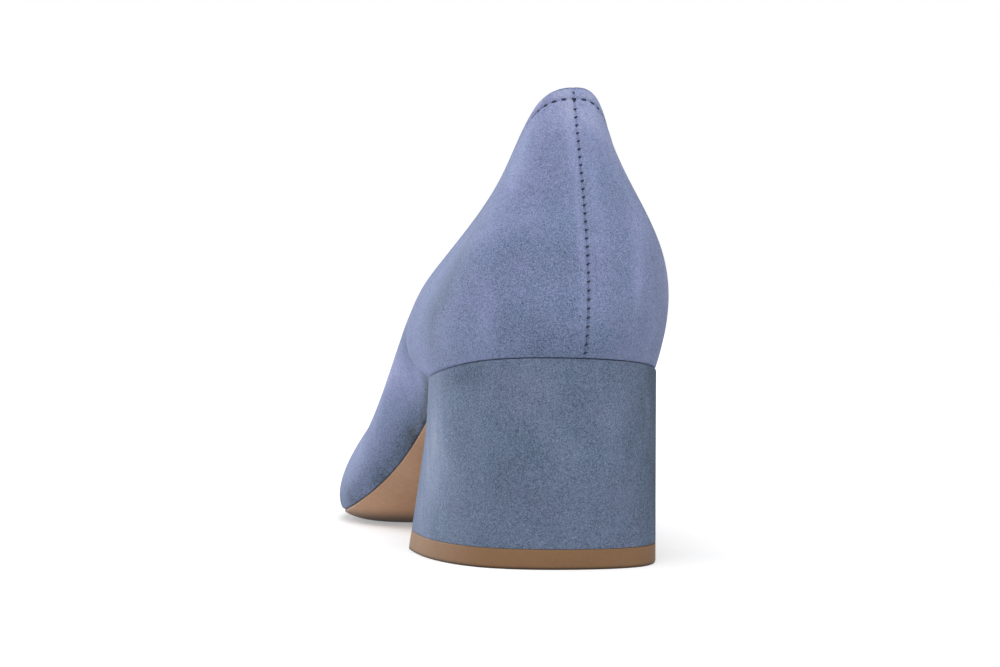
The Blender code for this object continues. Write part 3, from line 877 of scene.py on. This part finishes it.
def heel_seat_sides():
    """Outer and inner edge of the heel's seat, from the back to the breast."""
    sides = []
    for start, place in zip((0, LOOP), breast_places()):
        points, out = feather_edge(np.linspace(start, place, SIDE_POINTS + 1))
        margin = np.linspace(SEAT_MARGIN, BREAST_MARGIN, SIDE_POINTS + 1)[:, None]
        edge = points + out * margin - UP * GAP
        edge[-1, 1] = BREAST
        sides.append(edge)
    return sides


def heel_base_sides():
    """Outer and inner edge of the top piece on the floor, paired point by point with the seat's."""
    table = np.array(HEEL_BASE)
    y = HEEL_SET + table[:, 0] * BASE_DEPTH
    outer = np.column_stack([-table[::-1, 1] * BASE_WIDTH, y[::-1]])
    inner = np.column_stack([table[1:, 2] * BASE_WIDTH, y[1:]])
    outline = np.vstack([outer, inner])
    knots = np.concatenate([[0], np.cumsum(np.linalg.norm(np.diff(outline, axis=0), axis=1))])
    middle = knots[len(table) - 1]
    sides = []
    for end in (0, knots[-1]):
        line = spline_through(knots, outline, np.linspace(middle, end, SIDE_POINTS + 1))
        sides.append(np.column_stack([line, 0 * line[:, 0]]))
    return sides


def heel_level(seat, base, height):
    """Seat points moved down the heel to a height, or to one height for each point."""
    drop = 1 - height / seat[:, 2]
    share = (np.maximum(drop, 0) ** HEEL_CURVE)[:, None]
    level = seat * (1 - share) + base * share
    level[:, 2] = height
    return level


def corner_cut(side, breast):
    """A side that ends short of its corner, and the round of the corner over to the breast."""
    run = np.concatenate([[0], np.cumsum(np.linalg.norm(np.diff(side, axis=0), axis=1))])
    kept = np.interp(np.linspace(0, run[-1] - CORNER, SIDE_POINTS), run, np.arange(len(run)))
    kept = read_line(side, kept)
    t = np.linspace(0, 1, CORNER_POINTS + 2)[1:-1, None]
    return kept, (1 - t) ** 2 * kept[-1] + 2 * t * (1 - t) * side[-1] + t**2 * breast


def d_loop(left, right):
    """Closed outline of a heel level: back, outer side, breast and inner side, with round corners."""
    toward = unit(right[-1] - left[-1])
    near, far = left[-1] + toward * CORNER, right[-1] - toward * CORNER
    left_side, left_corner = corner_cut(left, near)
    right_side, right_corner = corner_cut(right, far)
    t = np.linspace(0, 1, BREAST_POINTS)[:, None]
    front = near * (1 - t) + far * t
    return np.vstack([left_side, left_corner, front, right_corner[::-1], right_side[:0:-1]])


def d_middle(left, right):
    """Middle line of a heel level, with a point for each point of its outline."""
    middle = middle_line(left, right, back=12, front=8)
    middle = read_line(middle, np.linspace(0, len(middle) - 1, SIDE_POINTS))
    front = np.repeat(middle[-1:], 2 * CORNER_POINTS + BREAST_POINTS, axis=0)
    return np.vstack([middle, front, middle[:0:-1]])


seat_sides, base_sides = heel_seat_sides(), heel_base_sides()


def heel_ring(share, inset, drop=0.0):
    """Outline at a share of the way from the seat to the top piece, lowered by drop and drawn in by
    inset, and its middle line."""
    foot = TOP_PIECE + GAP
    edges = []
    for seat, base in zip(seat_sides, base_sides):
        height = seat[:, 2] * (1 - share) + foot * share - drop
        edges.append(heel_level(seat, base, height))
    loop = d_loop(*edges)
    return loop - loop_out(loop) * inset, d_middle(*edges)


loops = [heel_ring(0, 0)[1]]
loops += [heel_ring(0, inset, drop)[0] for drop, inset in COVER_EDGE]
loops += [heel_ring(share, 0)[0] for share in np.linspace(0, 1, HEEL_LEVELS + 1)[1:-1]]
loops += [heel_ring(1, inset, drop)[0] for drop, inset in COVER_FOOT]
loops.append(heel_ring(1, 0)[1])
heel = lofted("heel_cover", loops, HEEL_MARKS)
heel.data.materials.append(suede("heel_suede", HEEL_DARK, HEEL_LIGHT, fuzz=0.06))
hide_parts("heel")


# Top piece: a brown lift nailed under the heel, trimmed flush with the suede so that its side goes on
# along the heel's own flare, with its lower edge slightly worn round.

LIFT_TOP = ((4.6, 0.1), (4.5, 0.02), (4.3, 0.0), (2.4, 0.0))  # height, inset
LIFT_FOOT = ((0.6, 0.0), (0.3, 0.06), (0.1, 0.2), (0.0, 0.45))
LIFT_SHADOW_HEIGHT = 0.9  # height of the painted contact shadow along the lower edge
LIFT_DARK = shade(128, 96, 67)
LIFT_LIGHT = shade(140, 107, 77)


def lift_ring(height, inset):
    """The top piece's outline at a height, drawn in by inset, and its middle line."""
    edges = []
    for seat, base in zip(seat_sides, base_sides):
        edges.append(heel_level(seat, base, np.full(len(seat), height)))
    loop = d_loop(*edges)
    return loop - loop_out(loop) * inset, d_middle(*edges)


loops = [lift_ring(TOP_PIECE, 0)[1]]
loops += [lift_ring(height, inset)[0] for height, inset in LIFT_TOP + LIFT_FOOT]
loops.append(lift_ring(0.0, 0)[1])
top_piece = lofted("top_piece", loops)
# The lift's lower edge gets a painted contact shadow towards the floor
contact_shadow = {"soiled": LIFT_SHADOW_HEIGHT, "Specular_IOR_Level": 0.25}
brown_rubber = leather(
    "top_piece_rubber", LIFT_DARK, LIFT_LIGHT, roughness=0.65, pore_scale=1400, depth=0.05, **contact_shadow
)
top_piece.data.materials.append(brown_rubber)
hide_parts("top_piece")


# Floor: a wide sheet of white acrylic that glows from below, as on a product photographer's table, so
# that the shoe's shadows stay faint.

FLOOR_REACH = 200.0  # metres each way
FLOOR_WHITE = (0.72, 0.72, 0.72, 1.0)
FLOOR_GLOW = 0.36
PURE_WHITE = (1.0, 1.0, 1.0, 1.0)
floor_mesh = bpy.data.meshes.new("floor")
corners = [(x * FLOOR_REACH, y * FLOOR_REACH, 0) for x, y in ((-1, -1), (1, -1), (1, 1), (-1, 1))]
floor_mesh.from_pydata(corners, [], [(0, 1, 2, 3)])
floor = bpy.data.objects.new("floor", floor_mesh)
bpy.context.collection.objects.link(floor)
acrylic, _, acrylic_shader, _ = finish("white_acrylic", roughness=0.9, Specular_IOR_Level=0.0)
acrylic_shader.inputs["Base Color"].default_value = FLOOR_WHITE
acrylic_shader.inputs["Emission Color"].default_value = PURE_WHITE
acrylic_shader.inputs["Emission Strength"].default_value = FLOOR_GLOW
floor_mesh.materials.append(acrylic)


# Light: two broad soft lamps, one high behind the camera and one low at the far left, in a room whose
# white walls are bright to look at but add little light of their own.

ROOM_FILL = 0.06  # light that the room adds

# In degrees: a lamp's bearing from behind the shoe towards its outer side, its height and its breadth
Lamp = namedtuple("Lamp", "name bearing height brightness breadth")
LAMPS = (
    Lamp("high_softbox", 0, 63, 0.98, 50),
    Lamp("far_softbox", 135, 17, 0.85, 50),
)
for lamp in LAMPS:
    light = bpy.data.lights.new(lamp.name, "SUN")
    light.energy = np.pi * lamp.brightness
    light.angle = np.radians(lamp.breadth)
    lamp_object = bpy.data.objects.new(lamp.name, light)
    lamp_object.rotation_euler = (np.radians(90 - lamp.height), 0, np.radians(-lamp.bearing))
    bpy.context.collection.objects.link(lamp_object)

world = bpy.data.worlds.new("white_room")
world.use_nodes = True
bpy.context.scene.world = world
room = world.node_tree
walls = room.nodes["Background"]
walls.inputs["Color"].default_value = PURE_WHITE
fill = add_node(room, "ShaderNodeBackground", Color=PURE_WHITE, Strength=ROOM_FILL)
seen = add_node(room, "ShaderNodeLightPath").outputs["Is Camera Ray"]
mixed = add_node(room, "ShaderNodeMixShader", Fac=seen)
room.links.new(fill.outputs[0], mixed.inputs[1])
room.links.new(walls.outputs[0], mixed.inputs[2])
room.links.new(mixed.outputs[0], room.nodes["World Output"].inputs["Surface"])

view = bpy.context.scene.view_settings
view.view_transform = "Standard"
view.look = "None"


# Camera: behind the shoe and a little to its outer side, half as high as its topline. It looks level
# past the heel and is turned to the shoe's middle.

CAMERA_PLACE = (-0.0968, -0.6346, 0.0519)  # metres
CAMERA_TURN = np.radians(8.68)  # from straight ahead towards the inner side
CAMERA_ROLL = np.radians(0.36)
LENS = 88.0  # millimetres
SENSOR = 36.0

camera_data = bpy.data.cameras.new("camera")
camera_data.sensor_width = SENSOR
camera_data.lens = LENS
camera = bpy.data.objects.new("camera", camera_data)
camera.location = CAMERA_PLACE
turn = Euler((np.pi / 2, 0, -CAMERA_TURN)).to_matrix() @ Matrix.Rotation(CAMERA_ROLL, 3, "Z")
camera.rotation_euler = turn.to_euler()
bpy.context.collection.objects.link(camera)
bpy.context.scene.camera = camera
